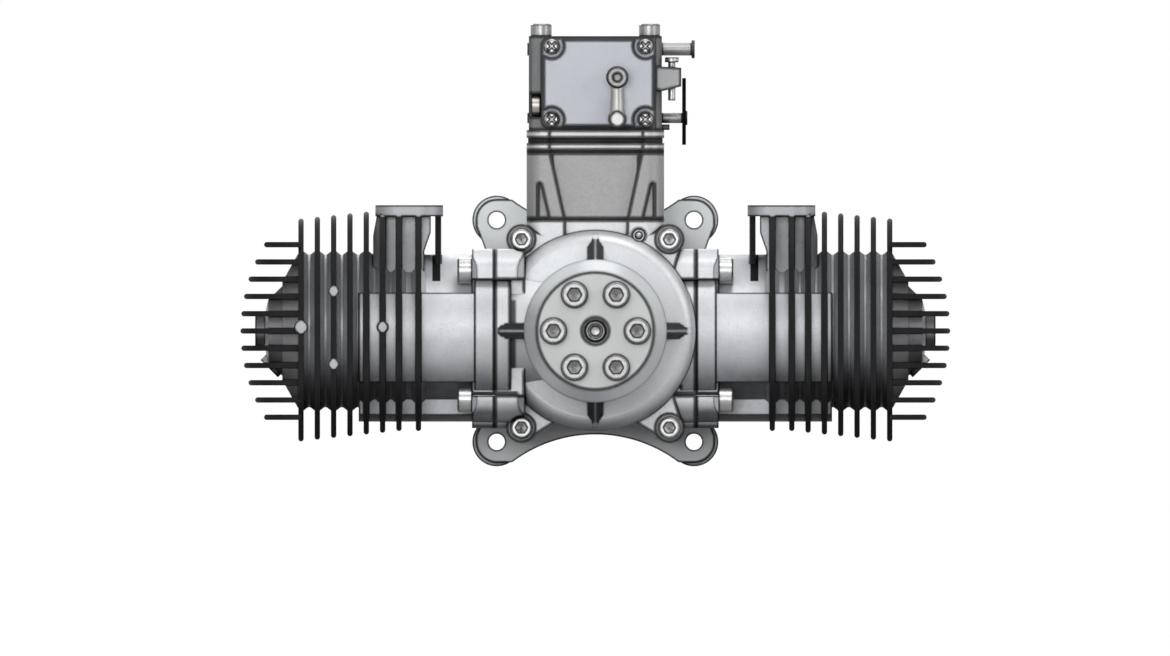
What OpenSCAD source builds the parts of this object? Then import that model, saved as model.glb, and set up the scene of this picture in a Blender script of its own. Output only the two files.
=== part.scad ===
// Flat-twin two-stroke aircraft engine, with its propeller hub toward -Y and its carburetor on top.
// The origin is the middle of the four mounting holes, on the firewall.
// Forward distances are from the firewall.

/* [Mounting] */
// Distance between the mounting holes, side to side
mount_x = 80; // [74:1:96]
// Distance between the mounting holes, top to bottom
mount_z = 90; // [86:1:104]
// Diameter of a mounting hole
mount_hole_d = 6.6; // [5:0.1:8]
// Radius of the plate around a mounting hole
ear_r = 8.3; // [7:0.1:9]
// Radius of the foot behind each ear
foot_r = 9.9; // [9.2:0.1:12]
// Height of a foot
foot_h = 6; // [4:0.5:12]
// Thickness of the mount plate
plate_t = 8; // [5:0.5:10]

/* [Crank] */
// From the mount plate's front face to the middle of the crankcase
case_reach = 52; // [50:0.5:60]
// Piston stroke
stroke = 40; // [37:0.5:42]
// Connecting rod length, from pin to pin
rod_len = 70; // [68:0.5:76]
// Width of a connecting rod at its ends
rod_w = 12; // [9:0.5:13]
// Gap on each side of a big end
rod_gap = 0.3; // [0.2:0.05:0.6]
// Diameter of a crank pin
crank_pin_d = 16; // [14:0.5:18]
// Wall of a big end around its pin
big_end_wall = 5; // [4:0.5:6]
// Thickness of the front and rear webs
web_t = 10; // [8:0.5:12]
// Thickness of the web between the two crank pins
centre_web_t = 8; // [6:0.5:10]
// Gap between the crank webs and the chamber
chamber_gap = 3.5; // [2:0.25:5]
// Wall of the round crankcase
case_wall = 6.1; // [5:0.1:8]
// Diameter of the four crankcase screws
case_screw_d = 5; // [4:0.5:6]

/* [Cylinders] */
// Cylinder bore
bore_d = 52; // [48:0.5:54]
// Wall of the barrel
barrel_wall = 5; // [4:0.25:6]
// Piston height above its pin
crown_h = 24; // [20:0.5:28]
// Thickness of a cylinder's base flange
flange_t = 8.8; // [7:0.2:11]
// Thickness of a base gasket
base_gasket_t = 0.5; // [0.3:0.1:1]
// Number of fins around each barrel
barrel_fins = 8; // [5:1:8]
// Distance from one barrel fin to the next
barrel_fin_pitch = 6.62; // [6:0.02:6.8]
// Thickness of a barrel fin
barrel_fin_t = 2.2; // [1.6:0.1:3]
// Width of the barrel fins, front to back
fin_w = 84; // [76:1:90]
// Height of the barrel fins
fin_h = 90.4; // [84:0.4:96]
// Number of fins on each cylinder head, an odd number
head_fins = 11; // [7:2:13]
// Distance from one head fin to the next
head_fin_pitch = 7; // [6:0.1:7.2]
// Thickness of a head fin
head_fin_t = 2.2; // [1.6:0.1:3]
// From the top of the bore to the tip of the middle head fin
head_len = 29; // [24:0.5:34]
// Radius of the arc that the head fins' tips lie on
head_arc_r = 68.6; // [62:0.2:90]
// Width of the exhaust flange, along the cylinder
exhaust_w = 27.5; // [25:0.5:30]
// Length of the exhaust flange, front to back
exhaust_l = 62; // [58:1:70]
// Height of the exhaust flange's face above the crank axis
exhaust_z = 51; // [50.5:0.5:56]
// Distance between the exhaust bolts
exhaust_bolts = 48; // [44:1:50]

/* [Nose] */
// Radius of the propeller hub
hub_r = 29; // [27:0.5:34]
// Radius of the propeller washer
washer_r = 24; // [22.5:0.5:26]
// Depth of the propeller hub
hub_l = 14.4; // [12:0.2:20]
// Thickness of the propeller washer
washer_t = 4; // [3:0.5:6]
// Diameter of the circle of propeller bolts
bolt_circle_d = 34; // [30:0.5:36]
// Number of propeller bolts
prop_bolt_count = 6; // [4:1:6]
// Length of the nose in front of the main bearing
nose_l = 24; // [22:0.5:32]

/* [Intake] */
// Width of the intake neck and manifold
neck_w = 55.8; // [54:0.2:60]
// Depth of the intake neck and manifold, front to back
neck_d = 54; // [52:0.5:60]
// Height of the neck's top above the crank axis
neck_z = 45; // [45:0.5:50]
// Height of the manifold
manifold_h = 26.6; // [22:0.2:34]
// Thickness of the manifold gasket
manifold_gasket_t = 0.6; // [0.4:0.1:1]
// Thickness of the lower spacer plate
lower_spacer_t = 2.8; // [2:0.2:5]
// Thickness of the upper spacer plate
upper_spacer_t = 3.2; // [2:0.2:5]
// Thickness of the gasket between the spacer plates
heat_gasket_t = 2.1; // [1:0.1:3]

/* [Carburetor] */
// Width of the carburetor body
carb_w = 54; // [52:0.5:56]
// Height of the carburetor body
carb_h = 38.1; // [38:0.1:44]
// Depth of the carburetor body, front to back
carb_d = 36; // [35:0.5:44]
// Radius of the carburetor's bore
carb_bore_r = 13.8; // [12:0.1:13.8]
// Height of the throttle shaft above the carburetor's foot
throttle_h = 4.9; // [4.5:0.1:6]
// Distance from the throttle shaft up to the choke shaft
choke_rise = 27.9; // [27.8:0.1:28.4]
// Diameter of the throttle shaft
throttle_shaft_d = 4.2; // [3.6:0.1:4.6]
// Diameter of the choke shaft
choke_shaft_d = 5.2; // [4.4:0.1:5.4]
// Diameter of the two long carburetor bolts
carb_bolt_d = 5; // [4:0.5:6]
// Width of the metering cover
cover_w = 46.2; // [44:0.2:47]
// Height of the metering cover
cover_h = 36.5; // [34:0.5:36.5]

/* [Hidden] */
$fn = 72;

// Running clearance of a shaft in its hole, and the much smaller one of pieces fixed together
running = 0.04;
seated = 0.02;
eps = 0.01;

// Crank train, as forward distances
mid_f = foot_h + plate_t + case_reach;
pin_space = rod_w + 2 * rod_gap;
row_offset = (centre_web_t + pin_space) / 2;
left_f = mid_f + row_offset;
right_f = mid_f - row_offset;
front_web_f = mid_f + centre_web_t / 2 + pin_space;
rear_web_f = mid_f - centre_web_t / 2 - pin_space;
crank_r = stroke / 2;
pin_r = crank_pin_d / 2;
web_r = crank_r + pin_r + 3;
end_gap = 1;
chamber_r = web_r + chamber_gap;
chamber_front = front_web_f + web_t + end_gap;
chamber_back = rear_web_f - web_t - end_gap;
case_r = chamber_r + case_wall;

// Bearings, as bore, outside diameter and width
main_brg = [20, 47, 14];
nose_brg = [17, 35, 10];
rear_brg = [17, 40, 12];
seal_size = [20, 30, 5];
main_brg_f = chamber_front + 1;
seal_f = main_brg_f + main_brg[2] + 1;
nose_brg_f = main_brg_f + main_brg[2] + nose_l - nose_brg[2];
nose_f = nose_brg_f + nose_brg[2] + 0.4;
rear_brg_f = chamber_back - 1 - rear_brg[2];

// Outside of the crankcase
shoulder_r = 5.8;
rib_t = 2.4;
rib_reach = case_r - 1.3;
shoulder_f = main_brg_f + 8;
cone_f = shoulder_f + 0.8;
boss_r = main_brg[1] / 2 + 5;
nose_r = nose_brg[1] / 2 + 4;
rear_face_f = chamber_back - 6.4;
rear_boss_r = rear_brg[1] / 2 + 5;
rear_boss_f = rear_brg_f - 4;
plate_back_f = foot_h;
plate_front_f = foot_h + plate_t;
case_bolt_x = 30;
case_bolt_top = 37.2;
case_bolt_low = -39.2;
case_lug_r = case_screw_d / 2 + 3.3;
case_lug_f = mid_f + neck_d / 2 + 1;
case_screw_grip = 16;

// Cylinder, along +X from the crank axis
bore_r = bore_d / 2;
barrel_r = bore_r + barrel_wall;
pin_top = crank_r + rod_len;
deck_x = pin_top + crown_h + 1;
seat_x = case_r + 0.1;
base_x = seat_x + base_gasket_t;
flange_x = base_x + flange_t;
spigot_r = bore_r + 2.1;
spigot_x = seat_x - 6.4;
window_r = bore_r + 0.3;
base_screw_d = 6;
base_screw_y = barrel_r - 3.5;
base_screw_top = 24.4;
base_screw_low = -27.8;
pad_r = 8.9;
pad_y = base_screw_y + pad_r;
pad_top = base_screw_top + pad_r;
pad_low = base_screw_low - pad_r;
belly_r = bore_r + 12.5;
belly_top = 20.9;
belly_low = -26.2;
bulge_r = bore_r + 7.5;
channel_r = [spigot_r + 0.7, spigot_r + 4.2];
fin_corner = 24;
head_fin_corner = 16;
root_h = 1.8;
root_reach = 2.8;
root_steps = [[-root_reach, 0], [-root_h / 4, root_h], [root_h / 4, root_h], [root_reach, 0]];
first_fin_x = deck_x + 4.4;
last_fin_x = first_fin_x - (barrel_fins - 1) * barrel_fin_pitch - 1.3;
tip_x = deck_x + head_len;
exhaust_x = deck_x - 39.5;
exhaust_t = 4.5;
exhaust_port = [12, 32];
plug_seat_x = tip_x - 6;
plug_hole_r = 4.5;
plug_pocket_r = 12;
socket_head = 1.72;
everything = 4 * tip_x;

// Piston set
piston_gap = 0.06;
skirt_len = rod_len - crank_r - max(web_r, crank_r + pin_r + big_end_wall) - 1;
wrist_pin_r = 6;
small_end_r = 10;

// Nose pieces
shaft_r = main_brg[0] / 2 - running;
nose_shaft_r = nose_brg[0] / 2 - running;
hub_shaft_r = 8;
hub_f = nose_f + 1.6;
washer_f = hub_f + hub_l;
shaft_end_r = 4.4;
shaft_end_f = washer_f + washer_t - 0.6;
shaft_thread_r = 2.2;
prop_bolt_d = 6;
key_size = [4, 4];

// Intake stack
column_r = 7;
manifold_z = neck_z + manifold_gasket_t;
manifold_top = manifold_z + manifold_h;
stack_gasket_t = 1.2;
lower_spacer_z = manifold_top + stack_gasket_t;
heat_gasket_z = lower_spacer_z + lower_spacer_t;
upper_spacer_z = heat_gasket_z + heat_gasket_t;
carb_z = upper_spacer_z + upper_spacer_t;
manifold_screw = [neck_w / 2 - column_r, neck_d / 2 - column_r - 1];
reed_frame = 35;
reed_frame_t = 3;

// Carburetor
carb_top = carb_z + carb_h;
throttle_z = carb_z + throttle_h;
choke_z = throttle_z + choke_rise;
carb_bolts = [[22, 6.2], [-22, -6.2]];
cover_x = 1.3;
cover_z = carb_z + 0.9 + cover_h / 2;
cover_t = 6.4;
cover_f = mid_f + carb_d / 2 + 0.6;
cover_screw = [cover_w / 2 - 4.1, cover_h / 2 - 3.4];
needle_z = carb_z + 10;
needle_off = carb_d / 2 - 4.1;
needle_r = 4.4;
arm_x = carb_w / 2 + 8.2;
arm_t = 1.55;
valve_t = 1.2;
valve_r = carb_bore_r - 0.1;

alu = [0.80, 0.81, 0.82];
cast = [0.70, 0.71, 0.72];
steel = [0.62, 0.60, 0.58];
dark = [0.25, 0.25, 0.27];

// An outline in X and Z, drawn out from one forward distance to another
module slab_y(f0, f1) translate([0, -f0, 0]) rotate([90, 0, 0]) linear_extrude(f1 - f0) children();

// An outline in Y and Z, drawn out along X
module slab_x(x0, x1) translate([x0, 0, 0]) rotate([90, 0, 90]) linear_extrude(x1 - x0) children();

module slab_z(z0, z1) translate([0, 0, z0]) linear_extrude(z1 - z0) children();

module bar_y(f0, f1, r, x = 0, z = 0) slab_y(f0, f1) translate([x, z]) circle(r = r);

module bar_x(x0, x1, r, y = 0, z = 0) slab_x(x0, x1) translate([y, z]) circle(r = r);

module bar_z(z0, z1, r, x = 0, y = 0) slab_z(z0, z1) translate([x, y]) circle(r = r);

// Outlines in radius and forward distance, spun about the crank axis
module spin_y() rotate([90, 0, 0]) rotate_extrude() children();

// Outlines in radius and X, spun about a cylinder's axis
module spin_x() rotate([0, 90, 0]) rotate_extrude() children();

module rounded(w, h, r) {
  square([w - 2 * r, h], center = true);
  square([w, h - 2 * r], center = true);
  for (x = [-1, 1], y = [-1, 1])
    translate([x * (w / 2 - r), y * (h / 2 - r)]) circle(r = r);
}

// The right cylinder is side 1. The left one is the same casting, turned half a turn about Z.
module at_cylinder(side)
  translate([0, side > 0 ? -right_f : -left_f, 0]) rotate([0, 0, side > 0 ? 0 : 180]) children();

// A socket head screw along +Z, its head's underside at the origin and its shank below
module socket_screw(d, shank) {
  head_r = d * socket_head / 2;
  difference() {
    union() {
      cylinder(r = head_r, h = d - 0.6);
      translate([0, 0, d - 0.6]) cylinder(r1 = head_r, r2 = head_r - 0.6, h = 0.6);
      translate([0, 0, -shank]) cylinder(r = d / 2 - seated, h = shank + eps);
    }
    translate([0, 0, d * 0.5]) cylinder(r = d * 0.48, h = d, $fn = 6);
    translate([0, 0, d * 0.35]) cylinder(r1 = 0, r2 = d * 0.4, h = d * 0.15 + eps);
  }
}

module screw_forward(f, d, shank, x, z) translate([x, -f, z]) rotate([90, 0, 0]) socket_screw(d, shank);

module case_bolt_places() {
  for (x = [-1, 1], z = [case_bolt_top, case_bolt_low]) translate([x * case_bolt_x, z]) children();
}

// A ball bearing between two forward distances, with its shield set back from both faces
module bearing(size, f) {
  ring = (size[1] - size[0]) * 0.13;
  w = size[2];
  spin_y() difference() {
    translate([size[0] / 2, f]) square([(size[1] - size[0]) / 2 - seated, w]);
    for (y = [f - 1, f + w - 0.8])
      translate([size[0] / 2 + ring, y]) square([(size[1] - size[0]) / 2 - 2 * ring, 1.8]);
  }
}

// Crankcase

// The four screw pads of a cylinder's seat and the belly between them
module pad_outline() {
  h = pad_top - pad_low;
  difference() {
    translate([0, (pad_top + pad_low) / 2]) rounded(2 * pad_y, h, pad_r);
    for (y = [-1, 1])
      translate([y * (pad_y + barrel_r) / 2, (belly_top + belly_low) / 2])
        square([pad_y - barrel_r + 2, belly_top - belly_low], center = true);
  }
  translate([0, pad_low]) rounded(32, 5.4, 2.6);
}

module belly_outline(r) intersection() {
  circle(r = r);
  translate([-r - 1, belly_low]) square([2 * r + 2, belly_top - belly_low]);
}

module channel_outline() {
  difference() {
    circle(r = channel_r[1]);
    circle(r = channel_r[0]);
    translate([-60, 12]) square([120, 60]);
    for (y = [-1, 1]) translate([y * 60, -60]) square([106, 86], center = true);
  }
  difference() {
    circle(r = channel_r[1]);
    circle(r = channel_r[0]);
    translate([-60, 12]) square([120, 60]);
    translate([-60, -77]) square([120, 60]);
  }
}

module seat_block() {
  intersection() {
    slab_x(seat_x - 11.9, seat_x) pad_outline();
    slab_z(pad_low - 5, pad_top + 5) polygon([
      [seat_x - 11.9, -pad_y + 2.8], [seat_x - 9.1, -pad_y], [seat_x, -pad_y],
      [seat_x, pad_y], [seat_x - 9.1, pad_y], [seat_x - 11.9, pad_y - 2.8]
    ]);
  }
  slab_x(seat_x - 6.2, seat_x) belly_outline(belly_r);
  bar_x(18, seat_x - 6, bulge_r);
}

module seat_cut() {
  bar_x(spigot_x - 0.1, seat_x + 1, spigot_r + seated);
  bar_x(spigot_x - 2.4, seat_x, window_r);
  slab_x(spigot_x - 2, seat_x + 1) channel_outline();
  for (y = [-1, 1], z = [base_screw_top, base_screw_low])
    bar_x(seat_x - 9, seat_x + 1, base_screw_d / 2, y * base_screw_y, z);
}

// The rod's way from the chamber into the cylinder, which stays inside the chamber's length
module rod_window(side) intersection() {
  at_cylinder(side) bar_x(10, spigot_x, window_r);
  slab_y(chamber_back + 1, chamber_front - 1) square(everything, center = true);
}

module lug_webs() {
  for (x = [-1, 1], z = [case_bolt_top, case_bolt_low]) {
    reach = norm([case_bolt_x, z]);
    rotate(atan2(z, x * case_bolt_x))
      polygon([[case_r - 5, -11], [reach, 0.1 - case_lug_r], [reach, case_lug_r - 0.1], [case_r - 5, 11]]);
  }
}

module round_case() spin_y() {
  translate([0, rear_face_f]) square([case_r - shoulder_r, shoulder_f - rear_face_f]);
  translate([0, rear_face_f + shoulder_r]) square([case_r, shoulder_f - rear_face_f - 2 * shoulder_r]);
  for (f = [rear_face_f + shoulder_r, shoulder_f - shoulder_r])
    translate([case_r - shoulder_r, f]) circle(r = shoulder_r);
}

module nose() spin_y() polygon([
  [0, mid_f], [case_r - shoulder_r, mid_f], [case_r - shoulder_r, shoulder_f], [boss_r, cone_f],
  [boss_r, main_brg_f + main_brg[2] + 2], [nose_r, nose_brg_f + 2], [nose_r, nose_f], [0, nose_f]
]);

// Four ribs from the nose to the shoulder. The one on the left also climbs over that cylinder's bulge.
module nose_ribs() {
  for (turn = [0, 90, 270]) rotate([0, turn, 0]) rib(shoulder_f - 2);
  rotate([0, 180, 0]) rib(left_f + belly_r + 1);
}

// Each rib is stepped, with two wider and lower layers for the fillets at its foot
module rib(foot_f) for (layer = [0 : 2])
  translate([-0.8 * layer, 0.8 * layer, -rib_t / 2 - 0.85 * layer]) linear_extrude(rib_t + 1.7 * layer) polygon([
    [15, -mid_f], [rib_reach, -mid_f], [rib_reach, -foot_f], [rib_reach - 2, -foot_f - 1.6],
    [nose_r + 1, -nose_f + 3], [15, -nose_f + 3]
  ]);

module neck_outline() difference() {
  rounded(neck_w, neck_d, column_r);
  for (y = [-1, 1]) translate([0.3, y * (neck_d / 2)]) square([25.2, 8], center = true);
}

module case_blank() {
  round_case();
  nose();
  nose_ribs();
  bar_y(rear_boss_f, mid_f, rear_boss_r);
  for (turn = [45, 135]) rotate([0, turn, 0]) slab_y(rear_boss_f + 2, mid_f)
    square([2 * case_r - 6, rib_t], center = true);
  for (side = [-1, 1]) at_cylinder(side) seat_block();
  translate([0, -mid_f, 0]) slab_z(chamber_r / 2, neck_z) neck_outline();
  slab_y(mid_f - case_screw_grip, case_lug_f - 1) lug_webs();
  slab_y(plate_front_f, case_lug_f) case_bolt_places() circle(r = case_lug_r);
}

module case_cut() {
  bar_y(chamber_back, chamber_front, chamber_r);
  bar_y(chamber_front - 1, main_brg_f + main_brg[2], main_brg[1] / 2);
  bar_y(main_brg_f, seal_f + seal_size[2], seal_size[1] / 2);
  bar_y(main_brg_f, nose_f, seal_size[0] / 2 + 1);
  bar_y(nose_brg_f, nose_f + 1, nose_brg[1] / 2);
  bar_y(rear_brg_f, chamber_back + 1, rear_brg[1] / 2);
  for (side = [-1, 1]) {
    at_cylinder(side) seat_cut();
    rod_window(side);
  }
  translate([0, -mid_f, 0]) {
    slab_z(chamber_r / 3, neck_z + 1) square(31, center = true);
    for (x = [-1, 1], y = [-1, 1])
      bar_z(neck_z - 14, neck_z + 1, 2.5, x * manifold_screw[0], y * manifold_screw[1]);
  }
  slab_y(mid_f - case_screw_grip - 3, case_lug_f + 1) case_bolt_places() circle(r = case_screw_d / 2);
  slab_y(case_lug_f, nose_f) case_bolt_places() circle(r = case_screw_d * socket_head / 2 + 0.7);
  slab_y(plate_front_f - 1, plate_front_f + 20) case_bolt_places() circle(r = case_screw_d / 2);
  bar_y(mid_f + neck_d / 2 - 3, mid_f + neck_d / 2 + 20, 2.6, 17.6, 38.8);
}

module front_case() color(cast) intersection() {
  difference() {
    case_blank();
    case_cut();
  }
  slab_y(mid_f, nose_f + 10) square(everything, center = true);
}

module rear_case() color(cast) intersection() {
  difference() {
    case_blank();
    case_cut();
  }
  slab_y(0, mid_f) square(everything, center = true);
}

module case_plug() color(steel) {
  bar_y(mid_f + neck_d / 2 - 3, mid_f + neck_d / 2 - 1, 2.58, 17.6, 38.8);
  translate([17.6, -mid_f - neck_d / 2 + 1, 38.8]) sphere(r = 1.6);
}

// A plate whose sides bow inward between its four ears
module plate_outline() {
  low_bow = 56.1;
  side_bow = 106.5;
  difference() {
    rounded(mount_x + 2 * ear_r, mount_z + 2 * ear_r, ear_r);
    for (s = [-1, 1]) {
      translate([0, s * (mount_z / 2 - 3 + low_bow)]) circle(r = low_bow);
      translate([s * (mount_x / 2 - 0.5 + side_bow), 0]) circle(r = side_bow);
    }
  }
}

module mount_places() {
  for (x = [-1, 1], z = [-1, 1]) translate([x * mount_x / 2, z * mount_z / 2]) children();
}

module mount_plate() color(alu) difference() {
  union() {
    slab_y(plate_back_f, plate_front_f) plate_outline();
    slab_y(0, plate_back_f + 1) mount_places() circle(r = foot_r);
  }
  slab_y(-1, plate_front_f + 1) mount_places() circle(d = mount_hole_d);
  slab_y(-1, plate_front_f + 1) circle(r = 13);
  slab_y(-1, plate_front_f + 1) case_bolt_places() circle(r = case_screw_d / 2 + 0.3);
  slab_y(-1, plate_back_f + 4.4) case_bolt_places() circle(r = 4.7);
}

module case_screws() color(steel)
  for (x = [-1, 1], z = [case_bolt_top, case_bolt_low])
    screw_forward(case_lug_f, case_screw_d, case_lug_f - mid_f + case_screw_grip, x * case_bolt_x, z);

module mount_plate_screws() color(steel)
  for (x = [-1, 1], z = [case_bolt_top, case_bolt_low])
    translate([x * case_bolt_x, -plate_back_f - 4.4, z]) rotate([-90, 0, 0]) socket_screw(4.8, 20);

module main_bearing() color(steel) bearing(main_brg, main_brg_f);

module nose_bearing() color(steel) bearing(nose_brg, nose_brg_f);

module rear_bearing() color(steel) bearing(rear_brg, rear_brg_f);

module front_seal() color("dimgray") spin_y() difference() {
  translate([seal_size[0] / 2, seal_f])
    square([(seal_size[1] - seal_size[0]) / 2 - seated, seal_size[2] - seated]);
  translate([seal_size[0] / 2 + 1.2, seal_f - 1]) square([2, 3.6]);
}

// Cylinders

// The fins shift up a little, one by one, toward the crankcase
function fin_place(i) =
  i < barrel_fins - 1 || barrel_fins < 8 ? first_fin_x - i * barrel_fin_pitch : last_fin_x;
function fin_lift(i) = 0.4 + 0.7 * min(i, 6);

// A fin is its outline, cut by a thin strip with round ends, so that its rim is round
module barrel_fin(i) translate([fin_place(i), 0, fin_lift(i)]) intersection() {
  slab_x(-barrel_fin_t, barrel_fin_t) rounded(fin_w, fin_h + 1, fin_corner);
  slab_y(-fin_w, fin_w) strip_outline(fin_h, barrel_fin_t);
}

module strip_outline(h, t) {
  square([t, h - t], center = true);
  for (s = [-1, 1]) translate([0, s * (h - t) / 2]) circle(r = t / 2);
}

// The head fins stand clear of the plug, so that a socket passes between them
module head_fin_stack() difference() {
  head_fin_plates();
  bar_x(first_fin_x + 2, tip_x + 1, plug_pocket_r);
}

// Their tips lie on an arc, and each tip is round
module head_fin_plates() for (k = [-(head_fins - 1) / 2 : (head_fins - 1) / 2]) {
  z = k * head_fin_pitch;
  tip = tip_x - head_arc_r + sqrt(head_arc_r * head_arc_r - z * z);
  translate([0, 0, z]) intersection() {
    slab_z(-head_fin_t, head_fin_t) translate([first_fin_x, 0])
      rounded(2 * (tip - first_fin_x) + 1, fin_w - 2, head_fin_corner);
    slab_y(-fin_w, fin_w) {
      translate([first_fin_x, -head_fin_t / 2]) square([tip - first_fin_x - head_fin_t / 2, head_fin_t]);
      translate([tip - head_fin_t / 2, 0]) circle(r = head_fin_t / 2);
    }
  }
}

// The barrel with a fillet at the root of each fin, and the head down to the plug's collar
module barrel_and_head() spin_x() polygon(concat(
  [[0, base_x], [barrel_r, base_x]],
  [for (i = [barrel_fins - 1 : -1 : 0], s = root_steps)
    if (i > 0 || s[0] < 0) [barrel_r + s[1], fin_place(i) + s[0]]],
  [
    [barrel_r, first_fin_x + 1.4], [20, deck_x + 12], [18.2, deck_x + 12],
    [12.8, plug_seat_x - 5.4], [9.3, plug_seat_x - 4.5], [6, plug_seat_x - 4],
    [6, plug_seat_x], [0, plug_seat_x]
  ]
));

// A cast boss that leans outward and down from the head
module leaning_boss() translate([tip_x - 11.7, 0, -15.3]) rotate([0, 135, 0])
  translate([0, 0, -14]) cylinder(r = 5, h = 14);

module exhaust_duct() {
  side = exhaust_x - exhaust_w / 2;
  intersection() {
    translate([0, 20, 0]) slab_y(0, 40) polygon([
      [side + 5, exhaust_z - 3], [side + 5, 39.9], [side + 7.6, 32.4], [side + 7.6, 15],
      [side + exhaust_w + 0.9, 15], [side + exhaust_w + 0.9, 38.6], [side + exhaust_w - 0.8, exhaust_z - 3]
    ]);
    slab_z(0, exhaust_z) translate([exhaust_x, 0]) rounded(exhaust_w + 6, 40, 9);
  }
  slab_z(exhaust_z - exhaust_t, exhaust_z) translate([exhaust_x, 0]) rounded(exhaust_w, exhaust_l, 9);
  slab_z(22.7, exhaust_z - 1) translate([side + 2, 0]) square([2.5, 30], center = true);
}

module ejector_pads() {
  places = [[0, 1.6, 2.8], [2, 16.2, 2.25], [2, -13.4, 2.25], [5, 1.6, 2.25]];
  for (p = places) translate([fin_place(p[0]), fin_w / 2 + 0.2, p[1]])
    rotate([90, 0, 0]) cylinder(r = p[2], h = 6);
}

module cylinder_blank() {
  intersection() {
    slab_x(base_x, flange_x) pad_outline();
    slab_z(pad_low - 5, pad_top + 5) polygon([
      [base_x, -pad_y], [flange_x - 2, -pad_y], [flange_x, 2 - pad_y],
      [flange_x, pad_y - 2], [flange_x - 2, pad_y], [base_x, pad_y]
    ]);
  }
  slab_x(base_x, flange_x - 1) belly_outline(belly_r);
  bar_x(spigot_x, base_x + 1, spigot_r);
  slab_x(flange_x - 1, flange_x + 46) {
    intersection() {
      circle(r = barrel_r + 6.5);
      translate([-60, -20.7]) square([120, 36.1]);
    }
    intersection() {
      circle(r = barrel_r + 5.8);
      translate([-14, -60]) square([28, 60]);
    }
  }
  for (i = [0 : barrel_fins - 1]) barrel_fin(i);
  barrel_and_head();
  head_fin_stack();
  leaning_boss();
  exhaust_duct();
  ejector_pads();
}

module cylinder_cut() {
  spin_x() polygon([
    [0, 0], [bore_r, 0], [bore_r, deck_x], [bore_r - 8, deck_x + 0.4], [plug_hole_r, deck_x + 7],
    [plug_hole_r, tip_x + 20], [0, tip_x + 20]
  ]);
  slab_x(spigot_x - 1, deck_x - 29) channel_outline();
  for (y = [-1, 1]) translate([deck_x - 39, y * (bore_r + 1.5), -2.5]) cube([10, 7, 26], center = true);
  translate([deck_x - 39, 0, -bore_r - 1.5]) cube([10, 10, 7], center = true);
  slab_z(bore_r / 2, exhaust_z + 1) translate([exhaust_x + 1, 0])
    rounded(exhaust_port[0], exhaust_port[1], 5.5);
  for (y = [-1, 1]) {
    bar_z(exhaust_z - 12, exhaust_z + 1, 2.1, exhaust_x, y * exhaust_bolts / 2);
    for (z = [base_screw_top, base_screw_low])
      bar_x(base_x - 1, flange_x + 20, base_screw_d / 2 + 0.3, y * base_screw_y, z);
  }
}

module engine_cylinder(side) at_cylinder(side) difference() {
  cylinder_blank();
  cylinder_cut();
}

module left_cylinder() color(dark) engine_cylinder(-1);

module right_cylinder() color(dark) engine_cylinder(1);

module base_gaskets() color("dimgray") for (side = [-1, 1]) at_cylinder(side)
  slab_x(seat_x, base_x) difference() {
    union() {
      pad_outline();
      belly_outline(belly_r - 0.4);
    }
    circle(r = spigot_r + 0.1);
    channel_outline();
    for (y = [-1, 1], z = [base_screw_top, base_screw_low])
      translate([y * base_screw_y, z]) circle(r = base_screw_d / 2 + 0.3);
  }

module cylinder_screws() color(steel)
  for (side = [-1, 1], y = [-1, 1], z = [base_screw_top, base_screw_low])
    at_cylinder(side) translate([flange_x, y * base_screw_y, z])
      rotate([0, 90, 0]) socket_screw(base_screw_d, 16);

// Intake

module stack_outline(inset = 0) difference() {
  rounded(neck_w - 2 * inset, neck_d - 2 * inset, column_r - inset);
  for (y = [-1, 1]) translate([0.3, y * neck_d / 2])
    square([37.6 + 2 * inset, 8 + 2 * inset], center = true);
}

// The panel between the two bands of the manifold's face, wide at the top
module manifold_panel() polygon([
  [-18.5, manifold_top + 1], [19, manifold_top + 1], [12.9, manifold_z - 1], [-12.2, manifold_z - 1]
]);

module manifold_side_panel() polygon([
  [-22, manifold_z + 14.4], [-18.5, manifold_z - 1], [-23, manifold_z - 1], [-23, manifold_z + 14.4]
]);

module intake_manifold() color(cast) difference() {
  translate([0, -mid_f, 0]) slab_z(manifold_z, manifold_top) rounded(neck_w, neck_d, column_r);
  slab_y(mid_f + neck_d / 2 - 4, mid_f + neck_d) manifold_panel();
  slab_y(mid_f - neck_d, mid_f - neck_d / 2 + 4) manifold_panel();
  slab_y(mid_f + neck_d / 2 - 2, mid_f + neck_d) {
    manifold_side_panel();
    translate([0.6, 0]) mirror([1, 0]) manifold_side_panel();
  }
  translate([0, -mid_f, 0]) {
    slab_z(manifold_z - 1, manifold_top + 1) rounded(31, 31, 4);
    slab_z(manifold_top - reed_frame_t, manifold_top + 1) square(reed_frame + 0.2, center = true);
    for (p = carb_bolts) bar_z(manifold_top - 14, manifold_top + 1, carb_bolt_d / 2, p[0], p[1]);
    for (x = [-1, 1], y = [-1, 1]) {
      bar_z(manifold_z - 1, manifold_top + 1, 2.8, x * manifold_screw[0], y * manifold_screw[1]);
      bar_z(manifold_z + 8, manifold_top + 1, 4.5, x * manifold_screw[0], y * manifold_screw[1]);
    }
  }
}

module manifold_gaskets() color("dimgray") translate([0, -mid_f, 0]) {
  slab_z(neck_z, manifold_z) difference() {
    neck_outline();
    square(31, center = true);
    for (x = [-1, 1], y = [-1, 1]) translate([x * manifold_screw[0], y * manifold_screw[1]]) circle(r = 2.8);
  }
  slab_z(manifold_top, lower_spacer_z) stack_plate();
}

module manifold_screws() color(steel) translate([0, -mid_f, manifold_z + 8])
  for (x = [-1, 1], y = [-1, 1])
    translate([x * manifold_screw[0], y * manifold_screw[1], 0]) socket_screw(5, 20);

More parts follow.
